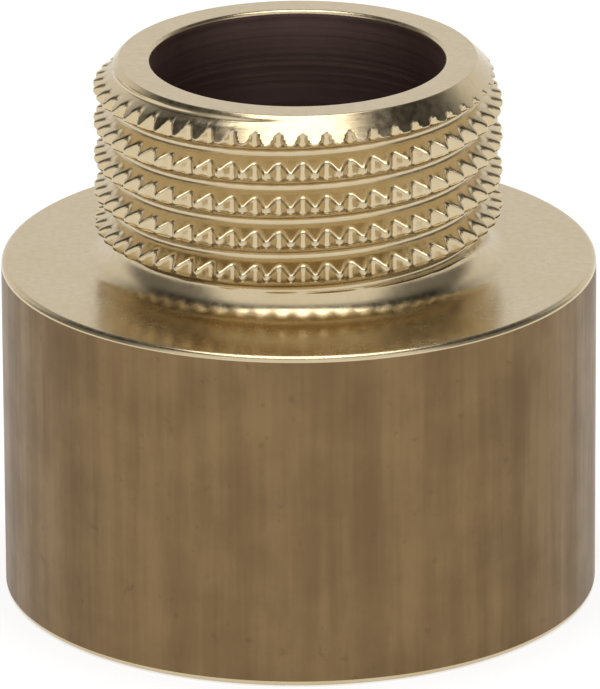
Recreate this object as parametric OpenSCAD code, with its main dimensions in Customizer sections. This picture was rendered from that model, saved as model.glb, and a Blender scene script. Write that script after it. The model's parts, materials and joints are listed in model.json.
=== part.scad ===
// Threaded pipe extension: one turned brass piece that steps a pipe run up by one size.
// It stands on its socket end, with its axis on Z and the rest face at Z = 0.

/* [Body] */
// Outside diameter of the plain body
body_diameter = 30.4; // [30:0.1:34]
// Height of the body, from the rest face to the shoulder
body_height = 17.7; // [15.5:0.1:26]
// Broken edge at the body's top and bottom rims
body_edge = 0.3; // [0.1:0.05:0.6]

/* [Male thread] */
// Major diameter of the male thread, over its crests
male_diameter = 20.955; // [20.5:0.005:21.5]
// Height of the threaded stub above the shoulder
stub_height = 10.6; // [9.5:0.1:13]
// Pitch of both threads, from crest to crest
pitch = 1.814; // [1.6:0.001:2]
// Serrations round each turn of the male thread
serrations = 52; // [40:1:56]
// Depth of the notches between the serrations
notch_depth = 0.62; // [0.4:0.02:0.8]
// Width that the notches leave of each crest
crest_width = 0.4; // [0.3:0.02:0.5]
// How far inside the thread's root the top chamfer stops
top_inset = 0.2; // [0.1:0.05:0.5]
// Radius of the fillet between the neck and the shoulder
neck_fillet = 1.5; // [0.8:0.05:1.6]

/* [Bore] */
// Diameter of the bore that runs through the stub
bore_diameter = 15; // [12:0.1:15.4]
// Broken edge at both ends of the bore
bore_edge = 0.2; // [0.1:0.05:0.4]

/* [Socket] */
// Minor diameter of the socket's thread, which is the wall that is modelled
socket_diameter = 24.117; // [23.8:0.001:24.6]
// Depth of the socket, from the rest face to its seat
socket_depth = 13.4; // [11:0.1:13.5]
// Width of the relief groove between the socket's thread and its seat
relief_width = 1.6; // [1:0.1:2.5]
// Lead-in chamfer at the socket's mouth, measured along the axis
lead_in = 1.3; // [1:0.1:1.6]

/* [Hidden] */
$fn = 120;

// The 55 degree thread form: half its angle, its height, and half the width of a crest
flank = 27.5;
thread_height = 0.640327 * pitch;
crest_half = pitch / 12;

body_r = body_diameter / 2;
male_r = male_diameter / 2;
root_r = male_r - thread_height;
top_r = root_r - top_inset;
bore_r = bore_diameter / 2;
socket_r = socket_diameter / 2;
relief_r = socket_r + thread_height + 0.1;
total_height = body_height + stub_height;
neck_top = body_height + neck_fillet - 0.2;

// The ridge climbs in level steps, one for each serration, from the neck to past the top
step_angle = 360 / serrations;
step_rise = pitch / serrations;
start_angle = -60;
first_crest = neck_top - pitch / 3;
last_crest = total_height + pitch / 4;
steps = floor((last_crest - first_crest) / step_rise);

// A point in the plan, from its radius and its angle
function at(r, angle) = r * [cos(angle), sin(angle)];

// Height of the top chamfer's 45 degree surface at a radius
function chamfer_z(r) = total_height - (r - top_r);

// Half section of the body, the neck with its fillet, and the core of the stub
module outside_section() {
    polygon([
        [0, 0],
        [body_r - body_edge, 0],
        [body_r, body_edge],
        [body_r, body_height - body_edge],
        [body_r - body_edge, body_height],
        [root_r, body_height],
        [root_r, chamfer_z(root_r)],
        [top_r, total_height],
        [0, total_height]
    ]);
    difference() {
        translate([root_r - 0.5, body_height - 0.5]) square(neck_fillet + 0.5);
        translate([root_r, body_height] + [1, 1] * neck_fillet) circle(neck_fillet);
    }
}

// Half section of everything that is bored out, from below and from above
module inside_section() {
    polygon([
        [0, -1],
        [socket_r + lead_in + 1, -1],
        [socket_r, lead_in],
        [socket_r, socket_depth - relief_width - 0.8],
        [relief_r, socket_depth - relief_width],
        [relief_r, socket_depth],
        [bore_r + bore_edge, socket_depth],
        [bore_r, socket_depth + bore_edge],
        [bore_r, total_height - bore_edge],
        [bore_r + bore_edge + 1, total_height + 1],
        [0, total_height + 1]
    ]);
}

// Half section of the space that the thread fills, between the neck and the top chamfer
module thread_space() {
    inner = root_r - 0.5;
    outer = male_r + 1;
    polygon([
        [inner, neck_top],
        [outer, neck_top],
        [outer, chamfer_z(outer)],
        [inner, chamfer_z(inner)]
    ]);
}

// Half section of the ridge, with its foot sunk into the core and its crest at Z = 0
module ridge_section() {
    sink = 0.1;
    foot_half = crest_half + (thread_height + sink) * tan(flank);
    polygon([
        [root_r - sink, -foot_half],
        [male_r, -crest_half],
        [male_r, crest_half],
        [root_r - sink, foot_half]
    ]);
}

// Plan of one serration: the notches at its sides meet its neighbours' below the crest
module serration_plan() {
    overlap = 0.3;
    notch = at(male_r - notch_depth, step_angle / 2);
    crest = at(male_r, asin(crest_width / 2 / male_r));
    slope = crest - notch;
    outer = notch + 1.3 * slope;
    inner = notch - 0.15 * slope;
    base = at(root_r - 0.5, step_angle / 2 + overlap);
    polygon([
        base, inner, outer,
        [outer.x, -outer.y], [inner.x, -inner.y], [base.x, -base.y]
    ]);
}

// One level step of the ridge, cut to a serration
module ridge_step() {
    intersection() {
        rotate(-step_angle) rotate_extrude(angle = 2 * step_angle) ridge_section();
        linear_extrude(2 * pitch, center = true) serration_plan();
    }
}

// One turn of the ridge, from the steps that its number gives
module ridge_turn(turn) {
    for (i = [turn * serrations : min(steps, (turn + 1) * serrations) - 1])
        rotate(start_angle + i * step_angle)
            translate([0, 0, first_crest + i * step_rise]) ridge_step();
}

// The right-hand male thread, cut off square at the neck and by the chamfer at the top
module male_thread() {
    intersection() {
        for (turn = [0 : ceil(steps / serrations) - 1]) ridge_turn(turn);
        rotate_extrude() thread_space();
    }
}

module extension() {
    color("#b08a50") difference() {
        union() {
            rotate_extrude() outside_section();
            male_thread();
        }
        rotate_extrude() inside_section();
    }
}

extension();
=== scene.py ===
"""Looks for a threaded pipe extension: one turned brass piece on a white studio floor.

Lengths are in millimetres until the mesh is made, and angles in degrees round the Z axis.
"""

import json
import math

import bpy
import numpy as np
from mathutils import Matrix, Vector


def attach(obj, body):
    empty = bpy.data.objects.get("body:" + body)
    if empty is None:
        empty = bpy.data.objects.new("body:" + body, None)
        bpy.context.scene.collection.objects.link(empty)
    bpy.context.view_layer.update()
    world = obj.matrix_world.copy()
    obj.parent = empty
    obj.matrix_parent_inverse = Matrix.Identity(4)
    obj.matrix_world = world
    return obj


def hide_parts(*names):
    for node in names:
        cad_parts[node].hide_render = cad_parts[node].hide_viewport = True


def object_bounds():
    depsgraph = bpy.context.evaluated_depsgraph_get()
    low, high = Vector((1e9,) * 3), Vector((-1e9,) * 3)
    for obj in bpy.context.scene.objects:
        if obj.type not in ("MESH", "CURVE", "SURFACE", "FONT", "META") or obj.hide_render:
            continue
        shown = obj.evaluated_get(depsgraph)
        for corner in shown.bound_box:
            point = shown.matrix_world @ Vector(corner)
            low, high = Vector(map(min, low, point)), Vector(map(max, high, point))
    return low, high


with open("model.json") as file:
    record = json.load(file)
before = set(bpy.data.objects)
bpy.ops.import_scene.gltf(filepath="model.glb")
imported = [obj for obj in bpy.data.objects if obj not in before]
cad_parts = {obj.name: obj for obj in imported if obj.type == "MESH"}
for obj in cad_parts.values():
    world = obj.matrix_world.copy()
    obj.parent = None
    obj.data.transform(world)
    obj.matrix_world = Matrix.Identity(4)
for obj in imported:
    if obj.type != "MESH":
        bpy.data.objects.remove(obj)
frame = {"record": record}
cad_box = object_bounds()

# ---------------------------------------------------------------- sizes

MM = 0.001
mounts = {mount["name"]: mount for mount in frame["record"]["mounts"]}


def mount_radius(name):
    """Radius of one of the record's mounts, in millimetres."""
    return mounts[name]["dims"]["r_mm"]


def mount_height(name):
    """Height of one of the record's mounts above the rest face, in millimetres."""
    return mounts[name]["pos_m"][2] / MM


BODY_R = cad_box[1].x / MM
TOP = cad_box[1].z / MM
SHOULDER = mount_height("shoulder_face")
MALE_R = mount_radius("male_thread")
SOCKET_R = mount_radius("female_thread")
BORE_R = mount_radius("flow_bore")

PITCH = 1.814
FLANK = math.tan(math.radians(27.5))
THREAD_H = 0.640327 * PITCH
ROUNDING = 0.137329 * PITCH
ROOT_R = MALE_R - THREAD_H
TOP_R = ROOT_R - 0.2
BODY_EDGE = 0.3
NECK_FILLET = 1.5

SOCKET_DEPTH = 13.4
RELIEF_R = SOCKET_R + THREAD_H + 0.1
RELIEF_LOW = SOCKET_DEPTH - 1.6
LEAD_IN = 1.3

# The male thread: where its helix and its serrations start, and how deep the notches are
SERRATIONS = 52
STEP = 360 / SERRATIONS
CREST_Z = 18.70
TOOTH_ANGLE = 4.71
NOTCH = 0.70
NECK_TOP = SHOULDER + NECK_FILLET - 0.25

# Columns round one serration, close together at the tooth, and which of them carry on
COLUMN_STOPS = (0, 0.04, 0.10, 0.17, 0.25, 0.37, 0.5, 0.63, 0.75, 0.83, 0.90, 0.96)
COARSE_STOPS = (0, 0.25, 0.5, 0.75)

# ---------------------------------------------------------------- surfaces


def lower_of(a, b, blend):
    """The smaller of two surfaces, with a soft change from one to the other."""
    near = np.maximum(blend - np.abs(a - b), 0) / blend
    return np.minimum(a, b) - near * near * blend / 4


def higher_of(a, b, blend):
    """The larger of two surfaces, with a soft change from one to the other."""
    return -lower_of(-a, -b, blend)


def thread_form(turns):
    """Height of the 55 degree thread above its root, from the turns past a crest."""
    away = np.abs(turns - np.round(turns)) * PITCH
    arc = ROUNDING * math.cos(math.radians(27.5))
    drop = ROUNDING * (1 - math.sin(math.radians(27.5)))
    crest = THREAD_H - ROUNDING + np.sqrt(np.maximum(ROUNDING**2 - away**2, 0))
    flank = THREAD_H - drop - (away - arc) / FLANK
    root = ROUNDING - np.sqrt(np.maximum(ROUNDING**2 - (PITCH / 2 - away) ** 2, 0))
    return np.where(away < arc, crest, np.where(away > PITCH / 2 - arc, root, flank))


def male_surface(angle, z):
    """Radius of the stub's outside: the thread, its notches, the neck and the chamfer."""
    thread = ROOT_R + thread_form((z - CREST_Z) / PITCH - angle / 360)
    place = (angle - TOOTH_ANGLE) / STEP
    away = 2 * np.abs(place - np.round(place))
    soft = 0.25
    away = (np.sqrt(away**2 + soft**2) - soft) / (math.sqrt(1 + soft**2) - soft)
    notched = MALE_R + 0.06 - NOTCH * np.sin(math.pi / 2 * away)
    ridge = lower_of(thread, notched, 0.36)
    ridge = lower_of(ridge, ROOT_R + 1.8 * (z - NECK_TOP), 0.06)
    dip = np.clip(SHOULDER + NECK_FILLET - z, 0, NECK_FILLET)
    core = ROOT_R + NECK_FILLET - np.sqrt(NECK_FILLET**2 - dip**2)
    return lower_of(higher_of(ridge, core, 0.04), TOP_R + TOP - z, 0.06)


def female_surface(angle, z):
    """Radius of the socket's wall: its thread, the lead-in and the way into the relief."""
    thread = SOCKET_R + THREAD_H - thread_form(z / PITCH - angle / 360)
    relief_slope = (RELIEF_R - SOCKET_R) / 0.8
    relief = SOCKET_R + (z - RELIEF_LOW + 0.8) * relief_slope
    wall = higher_of(thread, SOCKET_R + LEAD_IN - z, 0.05)
    return higher_of(wall, relief, 0.05)


# ---------------------------------------------------------------- mesh patches


def around(stops):
    """Angles of the columns, and of the first column again at the end."""
    angles = [TOOTH_ANGLE + STEP * (n + s) for n in range(SERRATIONS) for s in stops]
    return np.array(angles + [TOOTH_ANGLE])


FINE = around(COLUMN_STOPS)
COARSE = around(COARSE_STOPS)
patches = []


def turned(r, z, angles):
    """Points at these radii and heights, for the angles of each column."""
    a = np.radians(angles)
    return np.stack([r * np.cos(a), r * np.sin(a), z + 0 * a], axis=-1)


def add_patch(points, normals, quads, finish):
    """Keeps one piece of the surface until the mesh is made."""
    patches.append((points.reshape(-1, 3), normals.reshape(-1, 3), quads, finish))


def grid_quads(rows, columns):
    """Corner numbers of the faces of a grid of points."""
    first = np.arange(rows - 1)[:, None] * columns + np.arange(columns - 1)[None, :]
    corners = [first, first + 1, first + columns + 1, first + columns]
    return np.stack(corners, axis=-1).reshape(-1, 4)


def helical_patch(surface, angles, stops, low, high, side, finish):
    """A threaded wall whose rows climb with the helix. It returns its end rings."""
    last = len(angles) - 1
    wrap = (np.arange(last + 1) == last).astype(float)
    phase = CREST_Z / PITCH if side > 0 else 0.0
    first, past = math.floor(low / PITCH - phase) - 2, math.ceil(high / PITCH - phase) + 2
    turns = np.array([n + s for n in range(first, past) for s in stops])
    z = PITCH * ((turns[:, None] + wrap[None, :]) + (phase + angles[None, :] / 360))
    z = np.clip(z, low, high)
    grid = np.broadcast_to(angles[None, :], z.shape)
    r = surface(grid, z)
    dr_dz = (surface(grid, z + 0.005) - surface(grid, z - 0.005)) / 0.01
    dr_da = (surface(grid + 0.02, z) - surface(grid - 0.02, z)) / math.radians(0.04)
    a = np.radians(grid)
    normals = np.stack(
        [
            r * np.cos(a) + dr_da * np.sin(a),
            r * np.sin(a) - dr_da * np.cos(a),
            -r * dr_dz,
        ],
        axis=-1,
    )
    normals *= side / np.linalg.norm(normals, axis=-1, keepdims=True)
    points = turned(r, z, grid)
    add_patch(points, normals, grid_quads(*z.shape), finish)
    return (points[0], normals[0]), (points[-1], normals[-1])


def rounded_chain(corners, arc_steps=5):
    """Half section with rounded corners: points and the normals on their left side.

    Each corner is (radius from the axis, height, rounding), and the ends have none.
    """
    points, normals = [], []

    def put(point, normal):
        points.append(point)
        normals.append(normal / np.linalg.norm(normal))

    spots = [np.array(c[:2], float) for c in corners]
    ways = [(b - a) / np.linalg.norm(b - a) for a, b in zip(spots, spots[1:])]
    lefts = [np.array([-w[1], w[0]]) for w in ways]
    put(spots[0], lefts[0])
    for i in range(1, len(spots) - 1):
        before, after, rounding = lefts[i - 1], lefts[i], corners[i][2]
        turn = ways[i - 1][0] * ways[i][1] - ways[i - 1][1] * ways[i][0]
        sign = 1 if turn < 0 else -1
        half = math.acos(max(-1, min(1, float(before @ after)))) / 2
        start = spots[i] - ways[i - 1] * rounding * math.tan(half)
        centre = start - sign * rounding * before
        steps = arc_steps if rounding < 1 else 14
        for k in range(steps + 1):
            share = k / steps
            normal = before * math.sin(2 * half * (1 - share)) + after * math.sin(
                2 * half * share
            )
            normal /= np.linalg.norm(normal)
            put(centre + sign * rounding * normal, normal)
    put(spots[-1], lefts[-1])
    return np.array(points), np.array(normals)


def chain_patch(points, normals, finish):
    """Turns a half section round the axis. It returns its first and last rings."""
    a = np.radians(COARSE)
    rings = np.stack([turned(r, z, COARSE) for r, z in points])
    flat = np.stack(
        [
            np.stack([nr * np.cos(a), nr * np.sin(a), nz + 0 * a], axis=-1)
            for nr, nz in normals
        ]
    )
    add_patch(rings, flat, grid_quads(len(points), len(COARSE)), finish)
    return (rings[0], flat[0]), (rings[-1], flat[-1])


def join_rings(coarse, fine, finish):
    """Closes the gap between a ring of few columns and a ring of the same or more."""
    per = (len(fine[0]) - 1) // SERRATIONS
    stops = [0, 4, 6, 8, 12] if per == 12 else [0, 1, 2, 3, 4]
    offset = len(coarse[0])
    faces = []
    for n in range(SERRATIONS):
        for k in range(4):
            low, high = n * 4 + k, n * 4 + k + 1
            start, end = offset + n * per + stops[k], offset + n * per + stops[k + 1]
            middle = (start + end) // 2
            faces += [[low, f, f + 1, f + 1] for f in range(start, middle)]
            faces += [[high, f, f + 1, f + 1] for f in range(middle, end)]
            faces.append([low, high, middle, middle])
    points = np.concatenate([coarse[0], fine[0]])
    normals = np.concatenate([coarse[1], fine[1]])
    add_patch(points, normals, np.array(faces), finish)


def make_mesh(name):
    """One closed mesh of all the patches, with the normals that the surfaces have."""
    sizes = [len(p[0]) for p in patches]
    starts = np.concatenate([[0], np.cumsum(sizes)])
    points = np.concatenate([p[0] for p in patches])
    normals = np.concatenate([p[1] for p in patches])
    keys, where, same = np.unique(
        np.round(points, 5), axis=0, return_index=True, return_inverse=True
    )
    same = same.reshape(-1)
    faces, corner_normals, finishes = [], [], []
    for (_, _, quads, finish), start in zip(patches, starts):
        quads = quads + start
        across = points[quads[:, 2]] - points[quads[:, 0]]
        along = points[quads[:, 3]] - points[quads[:, 1]]
        flip = np.einsum(
            "ij,ij->i", np.cross(across, along), normals[quads].sum(axis=1)
        )
        thin = quads[:, 2] == quads[:, 3]
        edge = points[quads[:, 1]] - points[quads[:, 0]]
        side = points[quads[:, 2]] - points[quads[:, 0]]
        tri = np.einsum("ij,ij->i", np.cross(edge, side), normals[quads].sum(axis=1))
        flip = np.where(thin, tri, flip)
        for quad, backwards in zip(quads.tolist(), (flip < 0).tolist()):
            ring = quad[::-1] if backwards else quad
            ids = [int(same[c]) for c in ring]
            kept = [i for i in range(4) if ids[i] != ids[i - 1]]
            if len(kept) < 3 or len({ids[i] for i in kept}) < len(kept):
                continue
            faces.append([ids[i] for i in kept])
            corner_normals.extend(normals[ring[i]] for i in kept)
            finishes.append(finish)
    mesh = bpy.data.meshes.new(name)
    mesh.from_pydata((keys * MM).tolist(), [], faces)
    mesh.polygons.foreach_set("material_index", finishes)
    mesh.polygons.foreach_set("use_smooth", [True] * len(faces))
    mesh.update()
    mesh.normals_split_custom_set(np.array(corner_normals).tolist())
    return mesh


# The skin and bore slots have painted shade in their colours.
MACHINED, PAINTED_SHADE_SKIN, BORE = 0, 1, 2

# Rows over one pitch, as shares of it, from one crest to the next
MALE_STOPS = [d / PITCH for d in (0, 0.08, 0.16, 0.221, 0.30, 0.38, 0.46, 0.58)]
MALE_STOPS += [d / PITCH for d in (0.686, 0.75, 0.83, 0.907)]
MALE_STOPS += [1 - s for s in MALE_STOPS[-2:0:-1]]
FEMALE_STOPS = [d / PITCH for d in (0, 0.11, 0.221, 0.45, 0.686, 0.80, 0.907)]
FEMALE_STOPS += [1 - s for s in FEMALE_STOPS[-2:0:-1]]

stub_low, stub_high = SHOULDER + NECK_FILLET - 0.3, TOP - 0.1
neck_ring, crown_ring = helical_patch(
    male_surface, FINE, MALE_STOPS, stub_low, stub_high, 1, MACHINED
)
mouth_ring, relief_ring = helical_patch(
    female_surface, COARSE, FEMALE_STOPS, 0.1, RELIEF_LOW, -1, MACHINED
)

# The outside, from the neck down to the socket's mouth, in three patches of two finishes
shoulder_points, shoulder_normals = rounded_chain(
    [
        (ROOT_R, SHOULDER + 2 * NECK_FILLET, 0),
        (ROOT_R, SHOULDER, NECK_FILLET),
        (BODY_R, SHOULDER, BODY_EDGE),
        (BODY_R, SHOULDER - 1, 0),
    ],
    arc_steps=6,
)
kept = shoulder_points[:, 1] < stub_low - 0.04
kept[-1] = False
foot_ring, rim_ring = chain_patch(
    shoulder_points[kept], shoulder_normals[kept], MACHINED
)
join_rings(foot_ring, neck_ring, MACHINED)
side_points = np.array([[BODY_R, SHOULDER - BODY_EDGE], [BODY_R, BODY_EDGE]])
# The body's side takes the skin with painted shade.
chain_patch(side_points, np.array([[1.0, 0.0], [1.0, 0.0]]), PAINTED_SHADE_SKIN)
mouth_r = SOCKET_R + LEAD_IN
rest_points, rest_normals = rounded_chain(
    [
        (BODY_R, 1, 0),
        (BODY_R, 0, BODY_EDGE),
        (mouth_r, 0, 0.1),
        (mouth_r - 0.07, 0.07, 0),
    ]
)
_, lead_ring = chain_patch(rest_points[1:], rest_normals[1:], MACHINED)
join_rings(lead_ring, mouth_ring, MACHINED)

# The inside, from the socket's relief up through the bore to the top face
seat_points, seat_normals = rounded_chain(
    [
        (RELIEF_R, RELIEF_LOW, 0),
        (RELIEF_R, SOCKET_DEPTH, 0.15),
        (BORE_R, SOCKET_DEPTH, 0.2),
        (BORE_R, SOCKET_DEPTH + 1, 0),
    ]
)
chain_patch(seat_points[:-1], seat_normals[:-1], MACHINED)
bore_points = np.array([[BORE_R, SOCKET_DEPTH + 0.2], [BORE_R, TOP - 0.2]])
# The bore's wall takes the material with painted shade.
chain_patch(bore_points, np.array([[-1.0, 0.0], [-1.0, 0.0]]), BORE)
crown_points, crown_normals = rounded_chain(
    [
        (BORE_R, TOP - 1, 0),
        (BORE_R, TOP, 0.2),
        (TOP_R, TOP, 0.12),
        (TOP_R + 0.06, TOP - 0.06, 0),
    ]
)
_, chamfer_ring = chain_patch(crown_points[1:], crown_normals[1:], MACHINED)
join_rings(chamfer_ring, crown_ring, MACHINED)

extension = bpy.data.objects.new("extension_turned", make_mesh("extension_turned"))
bpy.context.scene.collection.objects.link(extension)

# ---------------------------------------------------------------- node helpers


class Tree:
    """Short ways to add nodes to a material's or the world's node tree."""

    def __init__(self, owner):
        owner.use_nodes = True
        self.tree = owner.node_tree
        self.tree.nodes.clear()

    def add(self, kind, **settings):
        node = self.tree.nodes.new(kind)
        for name, value in settings.items():
            setattr(node, name, value)
        return node

    def put(self, socket, value):
        if isinstance(value, bpy.types.NodeSocket):
            self.tree.links.new(value, socket)
        elif value is not None:
            socket.default_value = value

    def math(self, operation, *values, clamp=False):
        node = self.add("ShaderNodeMath", operation=operation, use_clamp=clamp)
        for socket, value in zip(node.inputs, values):
            self.put(socket, value)
        return node.outputs[0]

    def ramp(self, value, low, high, bottom=0.0, top=1.0):
        """A smooth rise from bottom at low to top at high."""
        node = self.add("ShaderNodeMapRange", interpolation_type="SMOOTHSTEP")
        for name, given in (
            ("Value", value),
            ("From Min", low),
            ("From Max", high),
            ("To Min", bottom),
            ("To Max", top),
        ):
            self.put(node.inputs[name], given)
        return node.outputs["Result"]

    def noise(self, vector, scale, detail=2.0, roughness=0.5):
        node = self.add("ShaderNodeTexNoise")
        self.put(node.inputs["Vector"], vector)
        self.put(node.inputs["Scale"], scale)
        self.put(node.inputs["Detail"], detail)
        self.put(node.inputs["Roughness"], roughness)
        return node.outputs["Fac"]

    def mix(self, share, a, b):
        node = self.add("ShaderNodeMix", data_type="RGBA")
        self.put(node.inputs["Factor"], share)
        self.put(node.inputs["A"], a)
        self.put(node.inputs["B"], b)
        return node.outputs["Result"]

    def turning(self):
        """The shaded point's place, its x, y and z, and its radius from the axis, as separate sockets."""
        place = self.add("ShaderNodeTexCoord").outputs["Object"]
        split = self.add("ShaderNodeSeparateXYZ")
        self.put(split.inputs[0], place)
        x, y, z = split.outputs
        radius = self.math("SQRT", self.math("ADD", self.math("MULTIPLY", x, x), self.math("MULTIPLY", y, y)))
        return place, x, y, z, radius

    def vector(self, x, y, z):
        node = self.add("ShaderNodeCombineXYZ")
        for socket, value in zip(node.inputs, (x, y, z)):
            self.put(socket, value)
        return node.outputs[0]


def principled(tree, colour, roughness, normal=None, metallic=1.0):
    shader = tree.add("ShaderNodeBsdfPrincipled")
    tree.put(shader.inputs["Base Color"], colour)
    tree.put(shader.inputs["Metallic"], metallic)
    tree.put(shader.inputs["Roughness"], roughness)
    tree.put(shader.inputs["Normal"], normal)
    output = tree.add("ShaderNodeOutputMaterial")
    tree.put(output.inputs["Surface"], shader.outputs[0])
    return shader


def bump(tree, height, distance, strength=1.0):
    node = tree.add("ShaderNodeBump")
    tree.put(node.inputs["Height"], height)
    tree.put(node.inputs["Distance"], distance)
    tree.put(node.inputs["Strength"], strength)
    return node.outputs[0]


# ---------------------------------------------------------------- materials


def machined_brass():
    """Pale turned brass: fine rings from the tool, and slight clouds of tarnish."""
    material = bpy.data.materials.new("machined_brass")
    tree = Tree(material)
    place, x, y, z, radius = tree.turning()
    rings = tree.noise(
        tree.vector(tree.math("MULTIPLY", radius, 1.0), z, 0.0), 5200.0, 3.0, 0.6
    )
    clouds = tree.noise(place, 330.0, 4.0, 0.6)
    fine = tree.noise(place, 2600.0, 2.0, 0.5)
    colour = tree.mix(
        tree.ramp(clouds, 0.32, 0.68), (0.60, 0.485, 0.30, 1), (0.64, 0.53, 0.345, 1)
    )
    roughness = tree.math(
        "ADD",
        tree.ramp(fine, 0.3, 0.7, 0.17, 0.24),
        tree.ramp(clouds, 0.3, 0.7, 0.0, 0.05),
    )
    height = tree.math("ADD", tree.math("MULTIPLY", rings, 0.7), tree.math("MULTIPLY", fine, 0.5))
    principled(tree, colour, roughness, bump(tree, height, 0.000004, 0.9))
    return material


def skin_with_painted_shade():
    """The body's side: streaked along the axis like the bar's skin, and painted dark brown as painted shade.
    """
    material = bpy.data.materials.new("skin_with_painted_shade")
    tree = Tree(material)
    place, x, y, z, radius = tree.turning()
    along = tree.math("MULTIPLY", z, 0.06)
    streaks = tree.noise(tree.vector(x, y, along), 420.0, 3.0, 0.55)
    hair = tree.noise(tree.vector(x, y, along), 2400.0, 2.0, 0.6)
    clouds = tree.noise(place, 260.0, 5.0, 0.62)
    specks = tree.noise(place, 1500.0, 2.0, 0.5)
    share = tree.math(
        "ADD",
        tree.math("MULTIPLY", streaks, 0.5),
        tree.math("ADD", tree.math("MULTIPLY", clouds, 0.35), tree.math("MULTIPLY", hair, 0.15)),
    )
    # The dark brown of both tones is painted shade on the side; the streaks and clouds between them are
    # random tone.
    colour = tree.mix(
        tree.ramp(share, 0.36, 0.64), (0.185, 0.118, 0.058, 1), (0.25, 0.165, 0.080, 1)
    )
    colour = tree.mix(tree.ramp(specks, 0.64, 0.78, 0.0, 0.5), colour, (0.15, 0.10, 0.055, 1))
    roughness = tree.ramp(share, 0.35, 0.65, 0.50, 0.38)
    height = tree.math("ADD", tree.math("MULTIPLY", hair, 0.6), tree.math("MULTIPLY", specks, 0.4))
    principled(tree, colour, roughness, bump(tree, height, 0.00001, 0.8))
    return material


def bore_wall_painted_shade():
    """The bore's wall: painted dark brown as painted shade for the unlit hollow, with the marks of the drill
    round it.
    """
    material = bpy.data.materials.new("bore_wall_painted_shade")
    tree = Tree(material)
    place, x, y, z, radius = tree.turning()
    rings = tree.noise(tree.vector(0.0, 0.0, z), 3000.0, 2.0, 0.6)
    clouds = tree.noise(place, 300.0, 3.0, 0.6)
    # Both browns are painted shade of the hollow bore; the clouds between them are random tone.
    colour = tree.mix(
        tree.ramp(clouds, 0.3, 0.7), (0.26, 0.17, 0.15, 1), (0.32, 0.215, 0.19, 1)
    )
    roughness = tree.ramp(rings, 0.3, 0.7, 0.42, 0.55)
    principled(tree, colour, roughness, bump(tree, rings, 0.000008, 0.8))
    return material


for material in (machined_brass(), skin_with_painted_shade(), bore_wall_painted_shade()):
    extension.data.materials.append(material)

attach(extension, "root")
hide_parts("extension")

# ---------------------------------------------------------------- floor


def white_floor():
    """A white floor that keeps the object's shadow, and looks white in the metal, with a disc of painted
    shade under the piece.
    """
    material = bpy.data.materials.new("white_floor")
    tree = Tree(material)
    place, x, y, z, radius = tree.turning()
    path = tree.add("ShaderNodeLightPath")
    seen = tree.math(
        "MAXIMUM",
        path.outputs["Is Camera Ray"],
        tree.math("MAXIMUM", path.outputs["Is Glossy Ray"], path.outputs["Is Transmission Ray"]),
    )
    # No glow inside the piece's footprint: a disc of painted contact shade, seen in the bore and socket.
    glow_outside_painted_shade = tree.ramp(radius, BODY_R * MM * 0.90, BODY_R * MM * 0.99)
    lit = tree.add("ShaderNodeBsdfDiffuse")
    grain = tree.noise(place, 40.0, 3.0)
    tree.put(
        lit.inputs["Color"],
        tree.mix(grain, (0.40, 0.40, 0.40, 1), (0.42, 0.42, 0.42, 1)),
    )
    glow = tree.add("ShaderNodeEmission")
    tree.put(
        glow.inputs["Strength"],
        tree.math("MULTIPLY", tree.math("MULTIPLY", seen, glow_outside_painted_shade), 0.68),
    )
    both = tree.add("ShaderNodeAddShader")
    tree.put(both.inputs[0], lit.outputs[0])
    tree.put(both.inputs[1], glow.outputs[0])
    output = tree.add("ShaderNodeOutputMaterial")
    tree.put(output.inputs["Surface"], both.outputs[0])
    return material


floor_mesh = bpy.data.meshes.new("floor")
floor_mesh.from_pydata(
    [(-4, -4, 0), (4, -4, 0), (4, 4, 0), (-4, 4, 0)], [], [(0, 1, 2, 3)]
)
floor = bpy.data.objects.new("floor", floor_mesh)
bpy.context.scene.collection.objects.link(floor)
floor_mesh.materials.append(white_floor())

# ---------------------------------------------------------------- light


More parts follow.
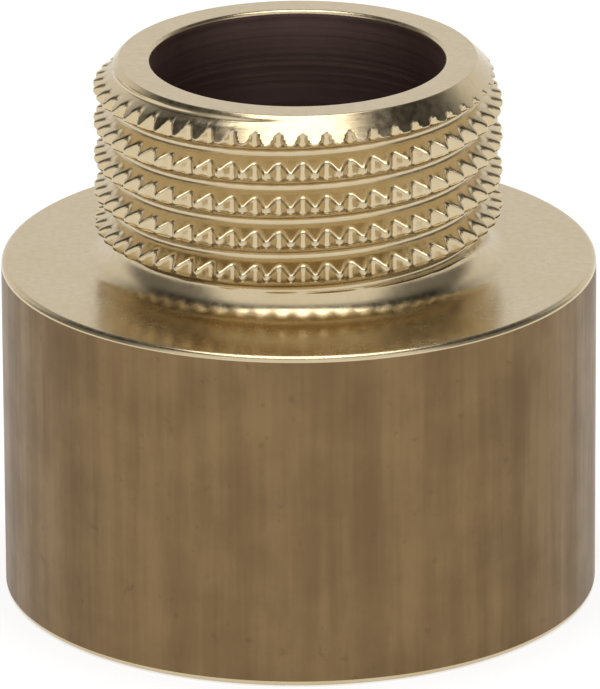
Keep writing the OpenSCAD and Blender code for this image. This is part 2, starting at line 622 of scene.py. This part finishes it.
def studio_world():
    """White all round for the camera, and a white horizon that dims overhead in metal."""
    world = bpy.data.worlds.new("studio")
    bpy.context.scene.world = world
    tree = Tree(world)
    path = tree.add("ShaderNodeLightPath")
    direction = tree.add("ShaderNodeTexCoord").outputs["Generated"]
    split = tree.add("ShaderNodeSeparateXYZ")
    tree.put(split.inputs[0], direction)
    x, y, z = split.outputs
    glossy = tree.math("MAXIMUM", path.outputs["Is Glossy Ray"], path.outputs["Is Transmission Ray"])
    back = tree.ramp(z, 0.42, 0.72, 0.90, 0.10)
    front = tree.ramp(z, 0.60, 0.85, 1.0, 0.12)
    ahead = tree.ramp(y, -0.35, 0.15, 1.0, 0.0)
    around_it = tree.math(
        "ADD",
        tree.math("MULTIPLY", back, tree.math("SUBTRACT", 1.0, ahead)),
        tree.math("MULTIPLY", front, ahead),
    )
    flat = tree.math("SQRT", tree.math("ADD", tree.math("MULTIPLY", x, x), tree.math("MULTIPLY", y, y)))
    sideways = tree.math("DIVIDE", tree.math("ABSOLUTE", x), tree.math("MAXIMUM", flat, 0.001))
    flag = tree.ramp(sideways, 0.72, 0.93, 1.0, 0.22)
    in_metal = tree.math("MULTIPLY", around_it, flag)
    plain = 0.55
    level = tree.math(
        "ADD",
        tree.math("MULTIPLY", glossy, in_metal),
        tree.math("MULTIPLY", tree.math("SUBTRACT", 1.0, glossy), plain),
    )
    camera = path.outputs["Is Camera Ray"]
    strength = tree.math(
        "ADD",
        camera,
        tree.math("MULTIPLY", tree.math("SUBTRACT", 1.0, camera), level),
    )
    background = tree.add("ShaderNodeBackground")
    tree.put(background.inputs["Color"], (1, 1, 1, 1))
    tree.put(background.inputs["Strength"], strength)
    output = tree.add("ShaderNodeOutputWorld")
    tree.put(output.inputs["Surface"], background.outputs[0])


def softbox(name, direction, distance, size, level):
    """An oval area lamp that faces the object, whose face looks this bright in metal."""
    lamp = bpy.data.lights.new(name, "AREA")
    lamp.shape = "ELLIPSE"
    lamp.size, lamp.size_y = size
    lamp.energy = level * math.pi * (math.pi * size[0] * size[1] / 4)
    holder = bpy.data.objects.new(name, lamp)
    way = Vector(direction).normalized()
    holder.location = way * distance + Vector((0, 0, 0.02))
    across = Vector((1, 0, 0))
    up = way.cross(across).normalized()
    across = up.cross(way).normalized()
    holder.rotation_mode = "QUATERNION"
    holder.rotation_quaternion = Matrix((across, up, way)).transposed().to_quaternion()
    bpy.context.scene.collection.objects.link(holder)


studio_world()
softbox("overhead", (0, -0.08, 1), 0.6, (0.50, 0.60), 3.0)

# ---------------------------------------------------------------- camera


def photo_camera():
    """The photograph's view: where it stands, how it tilts, and its narrow field."""
    distance, elevation, roll = 540.0, math.radians(20.30), math.radians(-0.32)
    aim = Vector((0.04, 0.0, 12.76))
    ahead = Vector((0, math.cos(elevation), -math.sin(elevation)))
    right = Vector((1, 0, 0))
    up = right.cross(ahead)
    turned_right = math.cos(roll) * right + math.sin(roll) * up
    turned_up = -math.sin(roll) * right + math.cos(roll) * up
    data = bpy.data.cameras.new("photo")
    data.sensor_width = 36
    data.lens = 36 * 10539 / 689
    data.clip_start, data.clip_end = 0.01, 100
    camera = bpy.data.objects.new("photo", data)
    turn = Matrix((turned_right, turned_up, -ahead)).transposed()
    camera.matrix_world = Matrix.Translation((aim - ahead * distance) * MM) @ turn.to_4x4()
    bpy.context.scene.collection.objects.link(camera)
    bpy.context.scene.camera = camera


photo_camera()
bpy.context.scene.view_settings.view_transform = "Standard"
